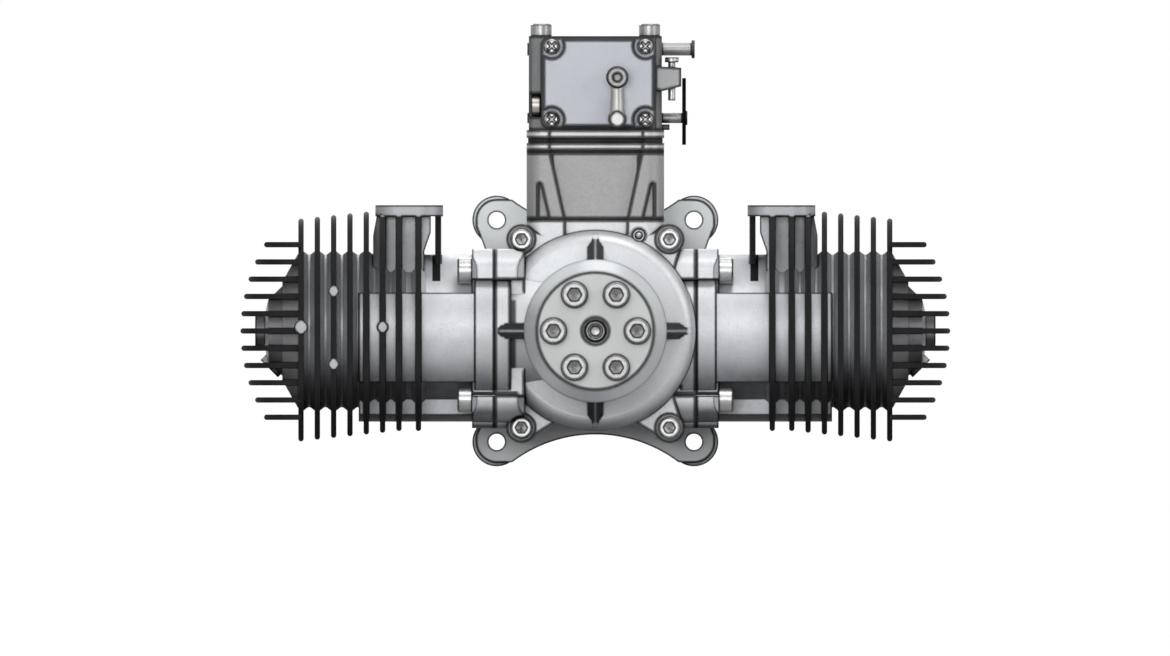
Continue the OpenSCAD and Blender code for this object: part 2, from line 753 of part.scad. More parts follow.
// One plate of the stack between the manifold and the carburetor
module stack_plate(inset = 0) difference() {
  stack_outline(inset);
  circle(r = carb_bore_r + 0.4);
  for (p = carb_bolts) translate(p) circle(r = carb_bolt_d / 2 + 0.2);
}

module lower_spacer() color(alu) translate([0, -mid_f, 0])
  slab_z(lower_spacer_z, heat_gasket_z) stack_plate();

module heat_gasket() color("dimgray") translate([0, -mid_f, 0])
  slab_z(heat_gasket_z, upper_spacer_z) stack_plate(0.6);

module upper_spacer() color(alu) translate([0, -mid_f, 0])
  slab_z(upper_spacer_z, carb_z) stack_plate();

// Reed valve: a wedge that hangs in the manifold, with two windows in each sloping face
reed_top = 12;
reed_low = 2.4;
reed_top_z = manifold_top - reed_frame_t;
reed_tip_z = manifold_z + 1.6;
reed_slope = atan2(reed_top - reed_low, reed_top_z - reed_tip_z);
reed_len = norm([reed_top - reed_low, reed_top_z - reed_tip_z]);

module reed_cage() color("darkslategray") translate([0, -mid_f, 0]) difference() {
  union() {
    slab_z(reed_top_z, manifold_top) square(reed_frame, center = true);
    slab_x(-14.5, 14.5) polygon([
      [-reed_low, reed_tip_z], [reed_low, reed_tip_z],
      [reed_top, reed_top_z + eps], [-reed_top, reed_top_z + eps]
    ]);
  }
  slab_x(-12.8, 12.8) polygon([
    [-0.6, reed_tip_z + 3], [0.6, reed_tip_z + 3],
    [reed_top - 2, manifold_top + 1], [2 - reed_top, manifold_top + 1]
  ]);
  for (x = [-6.5, 6.5]) translate([x, 0, (reed_top_z + reed_tip_z) / 2])
    cube([9, 40, 0.6 * (reed_top_z - reed_tip_z)], center = true);
}

module on_reed_face(side) translate([0, -mid_f + side * reed_low, reed_tip_z])
  rotate([-side * reed_slope, 0, 0]) scale([1, side, 1]) children();

module reed_petals() color([0.15, 0.15, 0.16]) for (side = [-1, 1]) on_reed_face(side)
  for (x = [-6.6, 6.6]) translate([x - 6, 0.02, 1]) cube([12, 0.35, reed_len - 2.6]);

module reed_stops() color(steel) for (side = [-1, 1]) on_reed_face(side)
  translate([-14, 0.4, reed_len - 6.4]) cube([28, 0.9, 4.6]);

// Carburetor

module carburetor_body() color(alu) translate([0, -mid_f, 0]) difference() {
  union() {
    slab_z(carb_z, carb_top) rounded(carb_w, carb_d - 10, 3);
    slab_z(carb_z, carb_top) translate([-1.4, 0]) rounded(carb_w - 2.8, carb_d, 2);
    slab_z(carb_z, carb_z + 2.3) translate([26.1, 0]) rounded(8, 12, 2);
  }
  bar_z(carb_z - 1, carb_top + 1, carb_bore_r);
  translate([0, 0, carb_top - 1]) cylinder(r1 = carb_bore_r, r2 = carb_bore_r + 1.2, h = 1 + eps);
  for (p = carb_bolts) bar_z(carb_z - 1, carb_top + 1, carb_bolt_d / 2 + 0.2, p[0], p[1]);
  bar_x(-carb_w, carb_w, throttle_shaft_d / 2 + running, 0, throttle_z);
  bar_x(-carb_w, carb_w, choke_shaft_d / 2 + running, 0, choke_z);
  for (y = [-1, 1]) {
    translate([-carb_w / 2 - 1, y * (needle_off + 2), needle_z])
      translate([0, -needle_r - 2.2, -needle_r - 0.4]) cube([6, 2 * needle_r + 4.4, 2 * needle_r + 0.8]);
    bar_x(-carb_w / 2 + 4, -12.4, 1.6 + running, y * needle_off, needle_z);
  }
  for (x = [-1, 1], z = [-1, 1])
    translate([cover_x + x * cover_screw[0], -carb_d / 2 + 7, cover_z + z * cover_screw[1]])
      rotate([90, 0, 0]) cylinder(r = 1.5, h = 8);
  translate([0, carb_d / 2 + 1, cover_z]) rotate([90, 0, 0]) cylinder(r = 2, h = 4);
}

module carburetor_bolts() color(steel) for (p = carb_bolts)
  translate([p[0], p[1] - mid_f, carb_top]) socket_screw(carb_bolt_d, carb_top - manifold_top + 11);

module cover_outline() translate([cover_x, cover_z]) rounded(cover_w, cover_h, 3);

module cover_screw_places() {
  for (x = [-1, 1], z = [-1, 1])
    translate([cover_x + x * cover_screw[0], cover_z + z * cover_screw[1]]) children();
}

module metering_gasket() color([0.2, 0.2, 0.22]) slab_y(cover_f - 0.6, cover_f) difference() {
  cover_outline();
  cover_screw_places() circle(r = 1.7);
}

module metering_cover() color([0.72, 0.74, 0.79]) difference() {
  union() {
    slab_y(cover_f, cover_f + 2) cover_outline();
    slab_y(cover_f + 1, cover_f + cover_t) difference() {
      translate([cover_x, cover_z]) rounded(cover_w - 1.4, cover_h - 1.4, 2.4);
      cover_screw_places() circle(r = 5);
    }
  }
  slab_y(cover_f - 1, cover_f + 3) cover_screw_places() circle(r = 1.7);
  slab_y(cover_f - 1, cover_f + cover_t - 2) translate([cover_x, cover_z]) circle(r = 12);
}

module cover_screws() color(steel) slab_cover_screws();

module slab_cover_screws() {
  for (x = [-1, 1], z = [-1, 1])
    translate([cover_x + x * cover_screw[0], -cover_f - 2, cover_z + z * cover_screw[1]]) rotate([90, 0, 0])
      difference() {
        union() {
          cylinder(r = 3, h = 1.6);
          translate([0, 0, 1.6]) cylinder(r1 = 3, r2 = 2.2, h = 0.8);
          translate([0, 0, -8]) cylinder(r = 1.48, h = 8 + eps);
        }
        for (turn = [0, 90]) rotate([0, 0, turn + 45]) translate([-2, -0.4, 1.2]) cube([4, 0.8, 2]);
      }
}

elbow_x = 8.9;
elbow_z = carb_z + 4.4;
elbow_top_z = carb_z + 21.4;
elbow_f = cover_f + cover_t;

module cover_elbow() color([0.78, 0.74, 0.66]) difference() {
  union() {
    bar_y(elbow_f, elbow_f + 7, 3.3, elbow_x, elbow_z);
    translate([elbow_x, -elbow_f - 3.6, elbow_z]) cylinder(r1 = 3, r2 = 2.4, h = elbow_top_z - elbow_z);
    bar_y(elbow_f + 0.8, elbow_f + 9, 2.7, elbow_x, elbow_top_z);
    translate([elbow_x, -elbow_f - 8.5, elbow_top_z]) rotate([90, 0, 0]) cylinder(r1 = 4.55, r2 = 3.8, h = 1.4);
  }
  bar_y(elbow_f + 3, elbow_f + 12, 1.8, elbow_x, elbow_top_z);
}

pump_f = mid_f - carb_d / 2;
pump_t = 5;

module pump_cover() color([0.72, 0.74, 0.79]) difference() {
  union() {
    slab_y(pump_f - pump_t, pump_f) translate([0, cover_z]) rounded(carb_w - 14, cover_h - 2.5, 5);
    bar_y(pump_f - pump_t - 1.4, pump_f - pump_t + 1, 6, 12, cover_z + 4);
  }
  bar_y(pump_f - pump_t - 1, pump_f + 1, 2.2, 0, cover_z);
  bar_y(pump_f - pump_t - 2, pump_f - 2, 2.4, 12, cover_z + 4);
}

module pump_screw() color(steel) translate([0, -pump_f + pump_t, cover_z]) rotate([-90, 0, 0]) difference() {
  union() {
    cylinder(r = 3.4, h = 2.6);
    translate([0, 0, -pump_t - 2.6]) cylinder(r = 1.96, h = pump_t + 2.6 + eps);
  }
  translate([-4, -0.5, 1.6]) cube([8, 1, 2]);
}

module fuel_nipple() color([0.80, 0.66, 0.36]) spin_nipple();

module spin_nipple() translate([12, -pump_f + pump_t + 1.4, cover_z + 4]) rotate([-90, 0, 0]) difference() {
  union() {
    translate([0, 0, -3]) cylinder(r = 2.38, h = 3 + eps);
    cylinder(r = 3.6, h = 1.4);
    cylinder(r = 2.2, h = 11);
    translate([0, 0, 11]) cylinder(r1 = 2.9, r2 = 2, h = 2.4);
  }
  translate([0, 0, -4]) cylinder(r = 1.2, h = 20);
}

module needle(y) translate([0, -mid_f + y, needle_z]) {
  difference() {
    bar_x(-carb_w / 2 + 1.1, -carb_w / 2 + 4.6, needle_r);
    translate([-carb_w / 2 - 0.4, -3, -0.5]) cube([2.4, 6, 1]);
  }
  bar_x(-carb_w / 2 + 4.5, -15, 1.6);
  translate([-15.01, 0, 0]) rotate([0, 90, 0]) cylinder(r1 = 1.6, r2 = 0.3, h = 2.4);
}

module high_needle() color([0.80, 0.66, 0.36]) needle(-needle_off);

module low_needle() color([0.80, 0.66, 0.36]) needle(needle_off);

// The wedge-shaped bracket beside the throttle arm, with the idle screw through it
bracket_f = [mid_f + 5, mid_f + carb_d / 2];
idle_z = carb_z + 20.5;
idle_f = mid_f + 12;
idle_screw_r = 1.5;

module idle_bracket() color(cast) difference() {
  slab_y(bracket_f[0], bracket_f[1]) polygon([
    [carb_w / 2 - 2.8, carb_z + 25.9], [arm_x - 0.35, carb_z + 25.3], [arm_x - 0.35, carb_z + 17.7],
    [carb_w / 2 + 0.3, carb_z + 15.8], [carb_w / 2 - 2.8, carb_z + 16.4]
  ]);
  translate([0, -mid_f, 0]) slab_z(carb_z, carb_top) {
    rounded(carb_w, carb_d - 10, 3);
    translate([-1.4, 0]) rounded(carb_w - 2.8, carb_d, 2);
  }
  bar_z(carb_z, carb_top, idle_screw_r + running, carb_w / 2 + 4, -idle_f);
}

module idle_screw() color(steel) translate([carb_w / 2 + 4, -idle_f, 0]) difference() {
  union() {
    bar_z(carb_z + 12, carb_z + 27.6, idle_screw_r);
    bar_z(carb_z + 27.5, carb_z + 29.5, 2.8);
  }
  translate([-4, -0.4, carb_z + 28.6]) cube([8, 0.8, 2]);
}

// Throttle and choke: a shaft with a slot, a round plate in it and a screw through both

module valve_shaft(d, z, x0, x1) translate([0, -mid_f, z]) difference() {
  bar_x(x0, x1, d / 2);
  cube([2 * valve_r + 0.3, d + 2, valve_t + 2 * seated], center = true);
  cylinder(r = 1 + seated, h = 20, center = true);
}

module valve_plate(z) translate([0, -mid_f, z]) difference() {
  cylinder(r = valve_r, h = valve_t, center = true);
  cylinder(r = 1 + seated, h = 4, center = true);
}

module valve_screw(d, z) translate([0, -mid_f, z]) difference() {
  union() {
    translate([0, 0, -d / 2]) cylinder(r = 1, h = d + eps);
    translate([0, 0, d / 2]) cylinder(r = 1.8, h = 0.9);
  }
  translate([-3, -0.25, d / 2 + 0.5]) cube([6, 0.5, 1]);
}

module throttle_shaft() color(steel) {
  valve_shaft(throttle_shaft_d, throttle_z, -carb_w / 2 - 0.6, arm_x + arm_t);
  translate([0, -mid_f, throttle_z]) bar_x(arm_x + arm_t, arm_x + arm_t + 0.6, 2.9);
}

module throttle_plate() color([0.80, 0.66, 0.36]) valve_plate(throttle_z);

module throttle_screw() color(steel) valve_screw(throttle_shaft_d, throttle_z);

// The arm reaches up to its link hole and down to its stop
module throttle_arm() color(steel) translate([0, -mid_f, throttle_z])
  slab_x(arm_x, arm_x + arm_t) difference() {
  union() {
    circle(r = 5);
    polygon([[-4.6, 2], [4.6, 2], [3.4, 12.8], [-3.4, 12.8]]);
    translate([0, 12.8]) circle(r = 3.4);
    polygon([[-2.4, -10.9], [2.4, -10.9], [4, -2], [-4, -2]]);
  }
  circle(r = throttle_shaft_d / 2 + seated);
  translate([0, 12.8]) circle(r = link_hole_r);
}

link_hole_r = 1.1;

module choke_shaft() color(steel) {
  valve_shaft(choke_shaft_d, choke_z, -carb_w / 2 - 0.6, carb_w / 2 + 12);
  translate([0, -mid_f, choke_z]) bar_x(carb_w / 2 + 12, carb_w / 2 + 13.3, 3.7);
}

module choke_plate() color([0.80, 0.66, 0.36]) valve_plate(choke_z);

module choke_screw() color(steel) valve_screw(choke_shaft_d, choke_z);

// Crankshaft

// A web with two hollows beside its balance weight. The crank pin stands on the side that turn points to.
module web(f, t, turn) rotate([0, turn, 0]) slab_y(f, f + t) difference() {
  circle(r = web_r);
  for (s = [-1, 1]) translate([crank_r * 0.62, s * (web_r - 3)]) circle(r = 8);
}

module crankshaft_front() color(steel) difference() {
  union() {
    web(front_web_f, web_t, 180);
    spin_y() polygon([
      [0, front_web_f + web_t - eps], [shaft_r + 2.5, front_web_f + web_t - eps],
      [shaft_r + 2.5, main_brg_f - seated], [shaft_r, main_brg_f - seated], [shaft_r, nose_brg_f - 2],
      [nose_shaft_r, nose_brg_f - 2], [nose_shaft_r, hub_f - 0.4], [hub_shaft_r, hub_f - 0.4],
      [hub_shaft_r, washer_f - 0.4], [shaft_end_r, washer_f - 0.4], [shaft_end_r, shaft_end_f - 0.6],
      [shaft_end_r - 0.6, shaft_end_f], [0, shaft_end_f]
    ]);
  }
  bar_y(shaft_end_f - 16, shaft_end_f + 1, shaft_thread_r);
  spin_y() polygon([
    [0, shaft_end_f - 1], [shaft_thread_r, shaft_end_f - 1],
    [shaft_thread_r + 1, shaft_end_f + eps], [0, shaft_end_f + eps]
  ]);
  slab_y(hub_f + 1, washer_f - 2) translate([0, hub_shaft_r]) square([key_size[0], key_size[1]], center = true);
}

module centre_web() color(steel)
  slab_y(mid_f - centre_web_t / 2, mid_f + centre_web_t / 2) circle(r = web_r);

module crankshaft_rear() color(steel) {
  web(rear_web_f - web_t, web_t, 0);
  spin_y() polygon([
    [0, rear_web_f - web_t + eps], [nose_shaft_r + 3, rear_web_f - web_t + eps],
    [nose_shaft_r + 3, rear_brg_f + rear_brg[2] + seated], [nose_shaft_r, rear_brg_f + rear_brg[2] + seated],
    [nose_shaft_r, rear_brg_f + 0.5], [0, rear_brg_f + 0.5]
  ]);
}

module prop_places() {
  for (i = [0 : prop_bolt_count - 1])
    rotate(i * 360 / prop_bolt_count) translate([bolt_circle_d / 2, 0]) children();
}

module prop_hub() color(alu) difference() {
  spin_y() polygon([
    [0, hub_f], [hub_r - 1, hub_f], [hub_r, hub_f + 1],
    [hub_r, hub_f + hub_l / 2], [washer_r, washer_f], [0, washer_f]
  ]);
  bar_y(hub_f - 1, washer_f + 1, hub_shaft_r + seated);
  slab_y(hub_f - 1, washer_f + 1) translate([0, hub_shaft_r]) square([key_size[0], key_size[1]], center = true);
  slab_y(hub_f - 1, washer_f + 1) prop_places() circle(d = prop_bolt_d);
}

module hub_key() color(steel) slab_y(hub_f + 1 + seated, washer_f - 2 - seated)
  translate([0, hub_shaft_r])
    square([key_size[0] - 2 * seated, key_size[1] - 2 * seated], center = true);

module prop_washer() color(alu) slab_y(washer_f, washer_f + washer_t) difference() {
  circle(r = washer_r);
  circle(r = shaft_end_r + 1);
  prop_places() circle(r = prop_bolt_d / 2 + 0.1);
}

module prop_bolts() color(steel) for (i = [0 : prop_bolt_count - 1])
  rotate([0, -i * 360 / prop_bolt_count, 0])
    screw_forward(washer_f + washer_t, prop_bolt_d, washer_t + hub_l - 2, bolt_circle_d / 2, 0);

// Pistons and rods, drawn at the top of their stroke along +X

ring_places = [crown_h - 4, crown_h - 9];
ring_w = 1.5;
ring_depth = 2.2;

module piston() difference() {
  spin_x() difference() {
    translate([0, pin_top - skirt_len]) square([bore_r - piston_gap, skirt_len + crown_h]);
    translate([0, pin_top - skirt_len - 1]) square([bore_r - 4, skirt_len + crown_h - 5]);
    for (h = ring_places) translate([bore_r - ring_depth - 0.3, pin_top + h]) square([5, ring_w]);
  }
  translate([pin_top, 60, 0]) rotate([90, 0, 0]) cylinder(r = wrist_pin_r + seated, h = 120);
}

// The piston's two pin bosses, joined to its inside wall
module pin_bosses() difference() {
  intersection() {
    for (y = [-1, 1]) translate([pin_top - small_end_r, y > 0 ? 8 : -bore_r, -small_end_r])
      cube([2 * small_end_r, bore_r - 8, 2 * small_end_r]);
    bar_x(0, deck_x, bore_r - 2);
  }
  translate([pin_top, 60, 0]) rotate([90, 0, 0]) cylinder(r = wrist_pin_r + seated, h = 120);
}

module whole_piston() {
  piston();
  pin_bosses();
}

module piston_rings() spin_x() for (h = ring_places)
  translate([bore_r - ring_depth - 0.2, pin_top + h + 0.05]) square([ring_depth + 0.17, ring_w - 0.1]);

module wrist_pin() translate([pin_top, bore_r - 3, 0]) rotate([90, 0, 0]) difference() {
  cylinder(r = wrist_pin_r, h = 2 * bore_r - 6);
  translate([0, 0, -1]) cylinder(r = wrist_pin_r - 2.5, h = 2 * bore_r);
}

module rod() difference() {
  union() {
    translate([pin_top, rod_w / 2, 0]) rotate([90, 0, 0]) cylinder(r = small_end_r - 0.5, h = rod_w);
    translate([crank_r, rod_w / 2, 0]) rotate([90, 0, 0]) cylinder(r = pin_r + big_end_wall, h = rod_w);
    translate([0, (rod_w - 3) / 2, 0]) slab_y(0, rod_w - 3)
      polygon([[crank_r, -9], [pin_top, -6.5], [pin_top, 6.5], [crank_r, 9]]);
  }
  for (y = [-1, 1]) translate([0, y * (rod_w / 2 - 1.5 + 2), 0]) translate([0, 2, 0]) slab_y(0, 4)
    polygon([[crank_r + 15, -5.5], [pin_top - 11, -4], [pin_top - 11, 4], [crank_r + 15, 5.5]]);
  translate([pin_top, 60, 0]) rotate([90, 0, 0]) cylinder(r = wrist_pin_r + seated, h = 120);
  translate([crank_r, 60, 0]) rotate([90, 0, 0]) cylinder(r = pin_r + seated, h = 120);
}

module crank_pin() translate([crank_r, rod_w / 2, 0]) rotate([90, 0, 0]) cylinder(r = pin_r, h = rod_w);

module left_piston() color(alu) at_cylinder(-1) whole_piston();
module left_piston_rings() color(dark) at_cylinder(-1) piston_rings();
module left_wrist_pin() color(steel) at_cylinder(-1) wrist_pin();
module left_rod() color(steel) at_cylinder(-1) rod();
module left_crank_pin() color(steel) at_cylinder(-1) crank_pin();
module right_piston() color(alu) at_cylinder(1) whole_piston();
module right_piston_rings() color(dark) at_cylinder(1) piston_rings();
module right_wrist_pin() color(steel) at_cylinder(1) wrist_pin();
module right_rod() color(steel) at_cylinder(1) rod();
module right_crank_pin() color(steel) at_cylinder(1) crank_pin();

front_case();
rear_case();
mount_plate();
case_screws();
mount_plate_screws();
main_bearing();
nose_bearing();
rear_bearing();
front_seal();
left_cylinder();
right_cylinder();
base_gaskets();
cylinder_screws();
intake_manifold();
manifold_gaskets();
manifold_screws();
reed_cage();
reed_petals();
reed_stops();
lower_spacer();
heat_gasket();
upper_spacer();
carburetor_body();
carburetor_bolts();
metering_cover();
metering_gasket();
cover_screws();
cover_elbow();
pump_cover();
pump_screw();
fuel_nipple();
high_needle();
low_needle();
idle_bracket();
idle_screw();
case_plug();
crankshaft_front();
centre_web();
crankshaft_rear();
prop_hub();
hub_key();
prop_washer();
prop_bolts();
left_piston();
left_piston_rings();
left_wrist_pin();
left_rod();
left_crank_pin();
right_piston();
right_piston_rings();
right_wrist_pin();
right_rod();
right_crank_pin();
throttle_shaft();
throttle_plate();
throttle_arm();
throttle_screw();
choke_shaft();
choke_plate();
choke_screw();
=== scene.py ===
"""Looks of the flat-twin aircraft engine: materials, soft studio light and the photograph's camera."""
import math

import bpy
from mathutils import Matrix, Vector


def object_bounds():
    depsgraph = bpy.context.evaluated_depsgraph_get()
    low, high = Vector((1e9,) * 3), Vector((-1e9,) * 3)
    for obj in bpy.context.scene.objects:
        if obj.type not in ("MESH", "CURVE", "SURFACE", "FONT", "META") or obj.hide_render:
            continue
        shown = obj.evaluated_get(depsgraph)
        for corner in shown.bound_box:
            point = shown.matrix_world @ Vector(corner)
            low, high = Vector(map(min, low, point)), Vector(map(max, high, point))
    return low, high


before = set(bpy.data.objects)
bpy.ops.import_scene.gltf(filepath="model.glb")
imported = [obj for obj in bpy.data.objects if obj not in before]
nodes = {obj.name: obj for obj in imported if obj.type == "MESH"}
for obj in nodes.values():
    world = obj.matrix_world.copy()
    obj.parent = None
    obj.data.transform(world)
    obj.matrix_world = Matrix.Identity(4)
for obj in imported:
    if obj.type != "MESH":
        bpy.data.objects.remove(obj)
cad_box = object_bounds()

# Places on the model, in metres: the cylinders' axes, the middle between them and the choke shaft's height
LEFT_Y = -0.0763
RIGHT_Y = -0.0557
MID_Y = -0.066
CHOKE_Z = 0.1143

# Fins, measured outward from the crankshaft. The fin next to the flange breaks the pitch of the other seven.
FIRST_FIN = 0.1194
LAST_FIN = 0.07176
EVEN_FINS_FROM = 0.0775
FIN_PITCH = 0.00662
HEAD_PITCH = 0.007
FIN_HALF = 0.00112
BARREL_RADIUS = 0.0330
BARREL_END = 0.1206
HEAD_FROM = 0.1192
PLUG_POCKET = 0.012
PAD_FACE = 0.04206

# Exhaust flange, the duct under it and the short fin beside the duct
FLANGE_UNDERSIDE = 0.0462
DUCT_HALF = 0.0202
DUCT_LOW = 0.0155
DUCT_INNER = 0.0670
DUCT_OUTER = 0.0900
STAY_OUT = 0.0645
STAY_HALF = 0.0016
STAY_LOW = 0.0200

# Dark lines along edges: their width, how strong they are, and their colour's sRGB values. Where they run in
# concave creases they are painted shade.
EDGE_LINE = 0.0014
LINE_STRENGTH = 0.95
LINE_TONE = (16, 16, 18)

# The photograph is 1170 pixels wide at 2.465 pixels to a millimetre
PICTURE_WIDTH = 0.4746

# What all lamps point at, and the round floor
LAMP_TARGET = (0, -0.05, 0)
FLOOR_RADIUS = 3.0
FLOOR_SIDES = 64


# Small helpers for node trees

class Tree:
    """The node tree of a material or world, with one line for each node."""

    def __init__(self, owner):
        owner.use_nodes = True
        self.owner = owner
        self.tree = owner.node_tree
        self.tree.nodes.clear()

    def add(self, kind, **values):
        node = self.tree.nodes.new(kind)
        for key, value in values.items():
            if hasattr(node, key):
                setattr(node, key, value)
            else:
                node.inputs[key].default_value = value
        return node

    def feed(self, value, socket):
        """Links a socket, or sets a number or colour."""
        if isinstance(value, bpy.types.NodeSocket):
            self.tree.links.new(value, socket)
        elif isinstance(value, tuple):
            socket.default_value = (*value, 1)
        else:
            socket.default_value = value

    def math(self, operation, *values):
        node = self.add("ShaderNodeMath", operation=operation)
        for i, value in enumerate(values):
            self.feed(value, node.inputs[i])
        return node.outputs[0]

    def product(self, a, b):
        return self.math("MULTIPLY", a, b)

    def off(self, value, place):
        """How far value lies from place, on either side."""
        return self.math("ABSOLUTE", self.math("SUBTRACT", value, place))

    def length(self, a, b):
        return self.math("SQRT", self.math("ADD", self.product(a, a), self.product(b, b)))

    def step(self, value, low, high, to_low=0.0, to_high=1.0):
        """value's place between low and high, smoothed, and turned into to_low … to_high."""
        node = self.add("ShaderNodeMapRange", interpolation_type="SMOOTHSTEP")
        ends = {"Value": value, "From Min": low, "From Max": high, "To Min": to_low, "To Max": to_high}
        for key, end in ends.items():
            self.feed(end, node.inputs[key])
        return node.outputs["Result"]

    def above(self, value, edge, soft=0.0002):
        """0 up to edge, and 1 from soft past it on."""
        return self.step(value, edge, edge + soft)

    def below(self, value, edge, soft=0.0002):
        """1 up to edge, and 0 from soft past it on."""
        return self.step(value, edge + soft, edge)

    def mix(self, factor, a, b, blend="MIX"):
        node = self.add("ShaderNodeMix", data_type="RGBA", blend_type=blend)
        self.feed(factor, node.inputs[0])
        self.feed(a, node.inputs[6])
        self.feed(b, node.inputs[7])
        return node.outputs[2]

    def shown(self):
        """1 for rays that show the thing itself: straight to the camera, by a mirror or through glass."""
        ray = self.add("ShaderNodeLightPath").outputs
        direct = self.math("MAXIMUM", ray["Is Camera Ray"], ray["Is Glossy Ray"])
        return self.math("MAXIMUM", direct, ray["Is Transmission Ray"])


class Surface(Tree):
    """A material's tree, with its shader and its object coordinates at hand."""

    def __init__(self, name):
        super().__init__(bpy.data.materials.new(name))
        self.bsdf = self.add("ShaderNodeBsdfPrincipled")
        self.feed(self.bsdf.outputs["BSDF"], self.add("ShaderNodeOutputMaterial").inputs["Surface"])
        self.place = self.add("ShaderNodeTexCoord").outputs["Object"]

    def noise(self, scale, detail=2.0, rough=0.5, place=None):
        node = self.add("ShaderNodeTexNoise", Scale=scale, Detail=detail, Roughness=rough)
        self.feed(place or self.place, node.inputs["Vector"])
        return node.outputs[0]

    def axes(self, vector=None):
        node = self.add("ShaderNodeSeparateXYZ")
        self.feed(vector or self.place, node.inputs[0])
        return node.outputs[0], node.outputs[1], node.outputs[2]

    def stretched(self, x, y, z):
        node = self.add("ShaderNodeMapping", Scale=(x, y, z))
        self.feed(self.place, node.inputs["Vector"])
        return node.outputs[0]

    def openness(self, distance, samples=6, **values):
        """1 on open surfaces, less where others stand within distance. inside=True looks into the solid."""
        node = self.add("ShaderNodeAmbientOcclusion", samples=samples, Distance=distance, **values)
        return node.outputs["AO"]


def srgb(r, g, b):
    """A colour as a painter picks it, 0 to 255, in the linear numbers that a shader wants."""
    return tuple(c / 255 / 12.92 if c <= 10 else ((c / 255 + 0.055) / 1.055) ** 2.4 for c in (r, g, b))


def scaled(color, k):
    return tuple(min(1.0, c * k) for c in color)


def painted_underside_shade(t, color, cloud, strength):
    """Painted shade that darkens the undersides of the castings, more on faces that point further down and in
    patches by the cloud noise.
    """
    up = t.axes(t.add("ShaderNodeNewGeometry").outputs["Normal"])[2]
    underside_shade_amount = t.product(t.step(up, -0.20, -0.65, 0.0, strength), t.step(cloud, 0.2, 0.7, 1.0, 0.8))
    return t.mix(underside_shade_amount, color, (0.20, 0.20, 0.21), "MULTIPLY")


def near_planes(t, value, first, pitch, half):
    """1 where value lies within half of one of the planes that start at first, a pitch apart."""
    steps = t.math("DIVIDE", t.math("SUBTRACT", first, value), pitch)
    return t.below(t.product(t.off(steps, t.math("ROUND", steps)), pitch), half, 0.0001)


def finish_surface(t, color, metallic, rough, height, distance, edge, crease=0.3, width=EDGE_LINE):
    """Joins colour, roughness and relief, with rounded edges, painted shade in creases and dark lines along
    edges, of which those in concave creases are painted shade too.

    distance is the relief's depth, edge the radius of the rounded edges and width the reach of the dark
    lines, all in metres. crease is the tone that the painted shade leaves in the tightest creases.
    """
    # Painted shade: the colour darkens in creases and recesses, down to crease in the tightest ones
    painted_crease_shade = t.step(t.openness(0.0022, samples=4), 0.15, 0.85, crease, 1.0)
    shade = t.mix(1.0, color, painted_crease_shade, "MULTIPLY")
    # Dark lines: the outer ones along convex edges, the inner ones in concave creases, which are painted
    # shade
    outer = t.step(t.openness(width, inside=True, only_local=True), 0.97, 0.80, 0.0, LINE_STRENGTH)
    crease_line_shade = t.step(t.openness(0.6 * width), 0.93, 0.76, 0.0, LINE_STRENGTH)
    tint = t.mix(t.math("MAXIMUM", outer, crease_line_shade), shade, srgb(*LINE_TONE))
    rounded = t.add("ShaderNodeBevel", samples=4, Radius=edge)
    bump = t.add("ShaderNodeBump", Strength=0.5, Distance=distance)
    t.feed(height, bump.inputs["Height"])
    t.feed(rounded.outputs[0], bump.inputs["Normal"])
    ends = {"Base Color": tint, "Metallic": metallic, "Roughness": rough, "Normal": bump.outputs[0]}
    for key, end in ends.items():
        t.feed(end, t.bsdf.inputs[key])
    return t.owner


# Materials

def cast_metal(name, color, metallic=0.40, rough=0.46, grain=1500.0, depth=0.00009, tone=0.07):
    """Sand-cast aluminium: fine grain, cloudy tone, slightly uneven sheen."""
    t = Surface(name)
    cloud = t.noise(42.0, 4.0, 0.6)
    speck = t.noise(grain, 2.0, 0.6)
    pits = t.add("ShaderNodeTexVoronoi", Scale=grain * 0.7)
    t.feed(t.place, pits.inputs["Vector"])
    tint = t.mix(t.step(cloud, 0.3, 0.7), scaled(color, 1 - tone), scaled(color, 1 + tone))
    tint = t.mix(t.step(speck, 0.45, 0.75, 0.0, 0.22), tint, scaled(color, 0.72))
    # Painted shade on the faces that point down
    tint = painted_underside_shade(t, tint, cloud, 0.45)
    sheen = t.step(cloud, 0.3, 0.7, rough - 0.03, rough + 0.04)
    rough_now = t.math("ADD", t.step(speck, 0.3, 0.7, -0.05, 0.06), sheen)
    height = t.math("ADD", speck, t.product(pits.outputs["Distance"], 0.5))
    return finish_surface(t, tint, metallic, rough_now, height, depth, edge=0.0004)


def machined_metal(name, color, metallic=0.75, rough=0.32, axis=None, centre=(0.0, 0.0), pitch=0.00045,
                   width=EDGE_LINE):
    """Turned or milled metal: tool rings round the axis, or without one, fine brushed lines along X."""
    t = Surface(name)
    x, y, z = t.axes()
    if axis is None:
        lines = t.noise(1.0, 2.0, 0.6, t.stretched(90.0, 2600.0, 2600.0))
    else:
        a, b = {"x": (y, z), "y": (x, z), "z": (x, y)}[axis]
        radius = t.length(t.math("SUBTRACT", a, centre[0]), t.math("SUBTRACT", b, centre[1]))
        wander = t.product(t.noise(300.0), 0.0003)
        phase = t.product(t.math("ADD", radius, wander), 2 * math.pi / pitch)
        lines = t.math("MULTIPLY_ADD", t.math("SINE", phase), 0.5, 0.5)
    cloud = t.noise(60.0, 3.0)
    tint = t.mix(t.step(cloud, 0.3, 0.7), scaled(color, 0.95), scaled(color, 1.04))
    tint = t.mix(t.product(lines, 0.10), tint, scaled(color, 0.75))
    sheen = t.step(cloud, 0.3, 0.7, rough - 0.03, rough + 0.03)
    rough_now = t.math("ADD", t.product(lines, 0.05), sheen)
    return finish_surface(t, tint, metallic, rough_now, lines, 0.00002, edge=0.00025, width=width)


